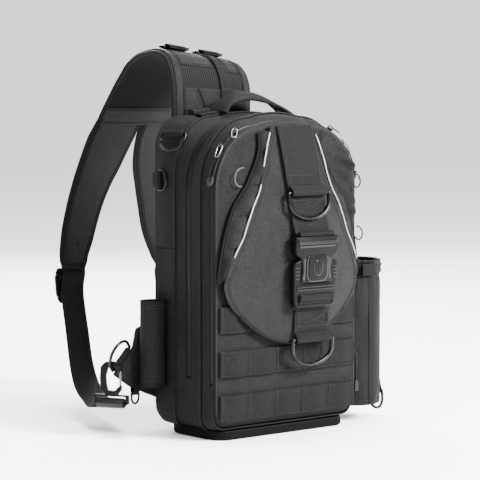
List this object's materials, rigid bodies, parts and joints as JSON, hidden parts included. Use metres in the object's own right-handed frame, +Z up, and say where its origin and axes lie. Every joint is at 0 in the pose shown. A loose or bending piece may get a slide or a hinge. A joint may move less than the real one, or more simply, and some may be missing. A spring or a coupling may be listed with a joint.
{
  "type": "fishing tackle sling bag",
  "caption": "Upright soft tackle bag with zipped compartments, buckled front flap, rod holster, bottle pocket, haul handle and a shoulder yoke splitting into two half straps.",
  "frame": {"origin": "on the flat underside of the base skid, on the bag's middle line", "axes": "+Z up, the front with the buckle faces -Y, the wearer's side +Y, the bottle pocket on +X"},
  "size_m": [0.413, 0.4167, 0.511],
  "materials": {
    "nylon": "matte woven nylon",
    "webbing": "ribbed nylon webbing",
    "flap_nylon": "smooth woven nylon",
    "piping": "silver reflective piping",
    "zipper": "coil zipper and its tape",
    "steel": "dark polished wire",
    "plastic": "moulded acetal",
    "pad": "padded air mesh and nylon"
  },
  "bodies": {
    "bag": {"rear_shell": "nylon", "main_zipper": "zipper", "main_shell": "nylon", "front_gusset": "nylon", "front_zipper": "zipper", "front_panel": "nylon", "rear_piping": "piping", "front_piping": "piping", "base_skid": "plastic", "back_pad": "pad", "load_webbing_1": "webbing", "load_webbing_2": "webbing", "load_webbing_3": "webbing", "tongue_flap": "flap_nylon", "flap_gusset_left": "nylon", "flap_piping_left": "piping", "flap_gusset_right": "nylon", "flap_piping_right": "piping", "centre_webbing_top": "webbing", "centre_webbing_low": "webbing", "buckle_socket": "plastic", "buckle_latch": "plastic", "centre_webbing_middle": "webbing", "front_zip_slider_1": "steel", "front_zip_slider_2": "steel", "holster_backing": "nylon", "rod_holster": "nylon", "bottle_pocket": "nylon", "side_upper_tab": "webbing", "side_upper_ring": "steel", "side_lower_tab": "webbing", "side_lower_ring": "steel", "pocket_tab": "webbing", "pocket_ring": "steel", "haul_handle": "webbing", "yoke": "pad", "strap_pad_left": "pad", "strap_pad_right": "pad", "wing_left": "pad", "wing_right": "pad", "wing_ring_left": "steel", "wing_ring_right": "steel", "snap_hook_left": "plastic", "snap_hook_right": "plastic", "strap_webbing_left": "webbing", "strap_webbing_right": "webbing", "strap_slider_left": "plastic", "strap_slider_right": "plastic", "wing_small_ring": "steel", "yoke_1_tab": "webbing", "yoke_1_ring": "steel", "yoke_2_tab": "webbing", "yoke_2_ring": "steel"},
    "upper_ring": {"upper_d_ring": "steel"},
    "lower_ring": {"lower_d_ring": "steel"},
    "gate_left": {"hook_gate_left": "steel"},
    "gate_right": {"hook_gate_right": "steel"}
  },
  "joints": [
    {"name": "upper_ring_swing", "type": "hinge", "parent": "bag", "child": "upper_ring", "pos_m": [0.0085, -0.095, 0.318], "axis": [1, 0, 0], "range_deg": [-90, 0]},
    {"name": "lower_ring_swing", "type": "hinge", "parent": "bag", "child": "lower_ring", "pos_m": [0.0229, -0.0874, 0.126], "axis": [1, 0, 0], "range_deg": [-90, 0]},
    {"name": "gate_left_turn", "type": "hinge", "parent": "bag", "child": "gate_left", "pos_m": [-0.18585, 0.05245, 0.0675], "axis": [-0.866, -0.5, 0], "range_deg": [0, 30], "stiffness_Nm_per_rad": 0.05, "springref_deg": -5.73},
    {"name": "gate_right_turn", "type": "hinge", "parent": "bag", "child": "gate_right", "pos_m": [0.18585, 0.05245, 0.0675], "axis": [-0.866, 0.5, 0], "range_deg": [0, 30], "stiffness_Nm_per_rad": 0.05, "springref_deg": -5.73}
  ]
}
